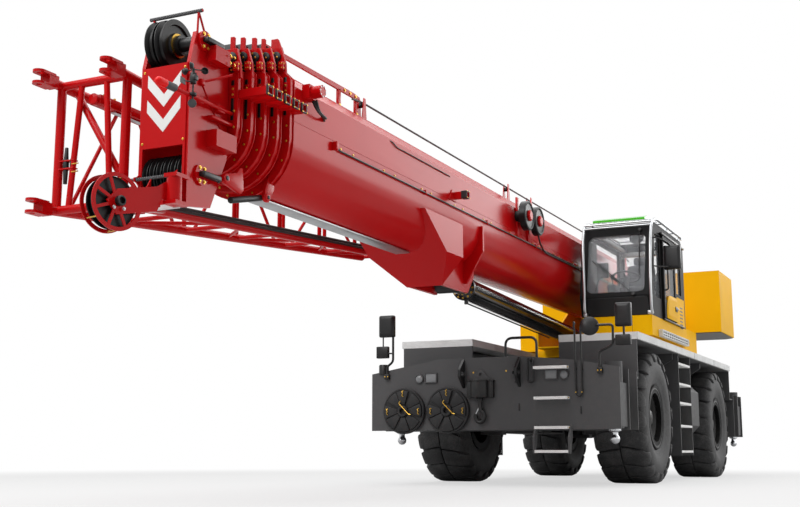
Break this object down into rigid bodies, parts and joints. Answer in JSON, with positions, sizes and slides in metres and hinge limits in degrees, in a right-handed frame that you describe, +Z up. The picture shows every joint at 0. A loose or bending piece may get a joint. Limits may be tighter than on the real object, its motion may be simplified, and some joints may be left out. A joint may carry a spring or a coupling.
{
  "type": "mobile crane",
  "caption": "Rough terrain crane on large steered wheels: slewing superstructure with side cab and counterweight, telescopic luffing boom, stowed lattice jib and sliding outriggers.",
  "frame": {"origin": "on the ground under the middle of the parked crane's length", "axes": "+X forward along the lowered boom, +Y to the crane's left, +Z up"},
  "size_m": [17.2947, 3.685, 4.0539],
  "materials": {
    "red_paint": "gloss",
    "yellow_paint": "gloss",
    "dark_paint": "satin",
    "pale_paint": "satin",
    "black_paint": "satin",
    "steel": "ground",
    "sheave": "satin",
    "tyre": "matte",
    "glass": "clear",
    "lamp": "clear lens",
    "seat": "woven"
  },
  "bodies": {
    "chassis": {"frame": "dark_paint", "front_box": "dark_paint", "rear_box": "dark_paint", "decks": "pale_paint", "deck_brackets": "dark_paint", "engine_hood": "dark_paint", "engine_block": "steel", "tanks": "dark_paint", "ladders": "pale_paint", "grab_rails": "black_paint", "axles": "dark_paint", "lamps": "lamp", "carrier_mirrors": "black_paint", "floats": "dark_paint", "hook_holder": "dark_paint"},
    "knuckle_fl": {"knuckle_fl": "dark_paint"},
    "wheel_fl": {"tyre_fl": "tyre", "rim_fl": "black_paint"},
    "knuckle_fr": {"knuckle_fr": "dark_paint"},
    "wheel_fr": {"tyre_fr": "tyre", "rim_fr": "black_paint"},
    "knuckle_rl": {"knuckle_rl": "dark_paint"},
    "wheel_rl": {"tyre_rl": "tyre", "rim_rl": "black_paint"},
    "knuckle_rr": {"knuckle_rr": "dark_paint"},
    "wheel_rr": {"tyre_rr": "tyre", "rim_rr": "black_paint"},
    "beam_fl": {"beam_fl": "dark_paint"},
    "jack_fl": {"jack_fl": "steel"},
    "beam_fr": {"beam_fr": "dark_paint"},
    "jack_fr": {"jack_fr": "steel"},
    "beam_rl": {"beam_rl": "dark_paint"},
    "jack_rl": {"jack_rl": "steel"},
    "beam_rr": {"beam_rr": "dark_paint"},
    "jack_rr": {"jack_rr": "steel"},
    "upper": {"turntable": "yellow_paint", "counterweight": "yellow_paint", "winches": "black_paint", "cab_base": "yellow_paint", "cab_frame": "black_paint", "cab_glass": "glass", "cab_interior": "seat", "cab_guard": "steel"},
    "cab_door": {"cab_door": "black_paint", "door_glass": "glass"},
    "boom_base": {"boom_base": "red_paint", "jib": "red_paint", "boom_reels": "black_paint"},
    "boom_section_2": {"boom_section_2": "red_paint"},
    "boom_section_3": {"boom_section_3": "red_paint"},
    "boom_section_4": {"boom_section_4": "red_paint"},
    "boom_section_5": {"boom_section_5": "red_paint"},
    "boom_head": {"boom_head": "red_paint", "head_sheaves": "sheave"},
    "aux_nose": {"aux_nose": "red_paint", "aux_sheave": "sheave"},
    "lift_barrel": {"lift_barrel": "black_paint"},
    "lift_rod": {"lift_rod": "steel"}
  },
  "joints": [
    {"name": "steer_fl", "type": "hinge", "parent": "chassis", "child": "knuckle_fl", "pos_m": [-1.58536, 0.92, 0.9375], "axis": [0, 0, 1], "range_deg": [-24, 24]},
    {"name": "spin_fl", "type": "hinge", "parent": "knuckle_fl", "child": "wheel_fl", "pos_m": [-1.58536, 1.355, 0.9375], "axis": [0, 1, 0], "continuous": true},
    {"name": "steer_fr", "type": "hinge", "parent": "chassis", "child": "knuckle_fr", "pos_m": [-1.58536, -0.92, 0.9375], "axis": [0, 0, 1], "range_deg": [-24, 24]},
    {"name": "spin_fr", "type": "hinge", "parent": "knuckle_fr", "child": "wheel_fr", "pos_m": [-1.58536, -1.355, 0.9375], "axis": [0, 1, 0], "continuous": true},
    {"name": "steer_rl", "type": "hinge", "parent": "chassis", "child": "knuckle_rl", "pos_m": [-6.25536, 0.92, 0.9375], "axis": [0, 0, 1], "range_deg": [-24, 24]},
    {"name": "spin_rl", "type": "hinge", "parent": "knuckle_rl", "child": "wheel_rl", "pos_m": [-6.25536, 1.355, 0.9375], "axis": [0, 1, 0], "continuous": true},
    {"name": "steer_rr", "type": "hinge", "parent": "chassis", "child": "knuckle_rr", "pos_m": [-6.25536, -0.92, 0.9375], "axis": [0, 0, 1], "range_deg": [-24, 24]},
    {"name": "spin_rr", "type": "hinge", "parent": "knuckle_rr", "child": "wheel_rr", "pos_m": [-6.25536, -1.355, 0.9375], "axis": [0, 1, 0], "continuous": true},
    {"name": "outrigger_fl", "type": "slide", "parent": "chassis", "child": "beam_fl", "axis": [0, 1, 0], "range_m": [0, 2]},
    {"name": "jack_fl", "type": "slide", "parent": "beam_fl", "child": "jack_fl", "axis": [0, 0, -1], "range_m": [0, 0.53]},
    {"name": "outrigger_fr", "type": "slide", "parent": "chassis", "child": "beam_fr", "axis": [0, -1, 0], "range_m": [0, 2]},
    {"name": "jack_fr", "type": "slide", "parent": "beam_fr", "child": "jack_fr", "axis": [0, 0, -1], "range_m": [0, 0.53]},
    {"name": "outrigger_rl", "type": "slide", "parent": "chassis", "child": "beam_rl", "axis": [0, 1, 0], "range_m": [0, 2]},
    {"name": "jack_rl", "type": "slide", "parent": "beam_rl", "child": "jack_rl", "axis": [0, 0, -1], "range_m": [0, 0.53]},
    {"name": "outrigger_rr", "type": "slide", "parent": "chassis", "child": "beam_rr", "axis": [0, -1, 0], "range_m": [0, 2]},
    {"name": "jack_rr", "type": "slide", "parent": "beam_rr", "child": "jack_rr", "axis": [0, 0, -1], "range_m": [0, 0.53]},
    {"name": "slew", "type": "hinge", "parent": "chassis", "child": "upper", "pos_m": [-3.92036, 0, 2.06], "axis": [0, 0, 1], "continuous": true},
    {"name": "door_slide", "type": "slide", "parent": "upper", "child": "cab_door", "axis": [-1, 0, 0], "range_m": [0, 0.7]},
    {"name": "boom_luff", "type": "hinge", "parent": "upper", "child": "boom_base", "pos_m": [-6.22036, 0, 3.4695], "axis": [0, -1, 0], "range_deg": [0, 78]},
    {"name": "boom_extend_2", "type": "slide", "parent": "boom_base", "child": "boom_section_2", "axis": [1, 0, 0], "range_m": [0, 9.3]},
    {"name": "boom_extend_3", "type": "slide", "parent": "boom_section_2", "child": "boom_section_3", "axis": [1, 0, 0], "range_m": [0, 9.3]},
    {"name": "boom_extend_4", "type": "slide", "parent": "boom_section_3", "child": "boom_section_4", "axis": [1, 0, 0], "range_m": [0, 9.3]},
    {"name": "boom_extend_5", "type": "slide", "parent": "boom_section_4", "child": "boom_section_5", "axis": [1, 0, 0], "range_m": [0, 9.3]},
    {"name": "boom_extend_6", "type": "slide", "parent": "boom_section_5", "child": "boom_head", "axis": [1, 0, 0], "range_m": [0, 9.3]},
    {"name": "aux_nose_swing", "type": "hinge", "parent": "boom_head", "child": "aux_nose", "pos_m": [7.93894, 0.19975, 2.4685], "axis": [0, 0, 1], "range_deg": [0, 90]},
    {"name": "lift_turn", "type": "hinge", "parent": "upper", "child": "lift_barrel", "pos_m": [-3.32036, 0, 2.3], "axis": [0, -1, 0], "range_deg": [0, 89.19]},
    {"name": "lift_slide", "type": "slide", "parent": "lift_barrel", "child": "lift_rod", "axis": [0.999, 0, 0.0454], "range_m": [0, 3.6967]}
  ],
  "couplings": [
    {"joint": "steer_fr", "follows": "steer_fl", "ratio": 1},
    {"joint": "steer_rr", "follows": "steer_rl", "ratio": 1},
    {"joint": "boom_extend_3", "follows": "boom_extend_2", "ratio": 1},
    {"joint": "boom_extend_4", "follows": "boom_extend_2", "ratio": 1},
    {"joint": "boom_extend_5", "follows": "boom_extend_2", "ratio": 1},
    {"joint": "boom_extend_6", "follows": "boom_extend_2", "ratio": 1},
    {"joint": "lift_turn", "follows": "boom_luff", "ratio": 1.1433},
    {"joint": "lift_slide", "follows": "boom_luff", "m_per_rad": 2.7147}
  ]
}
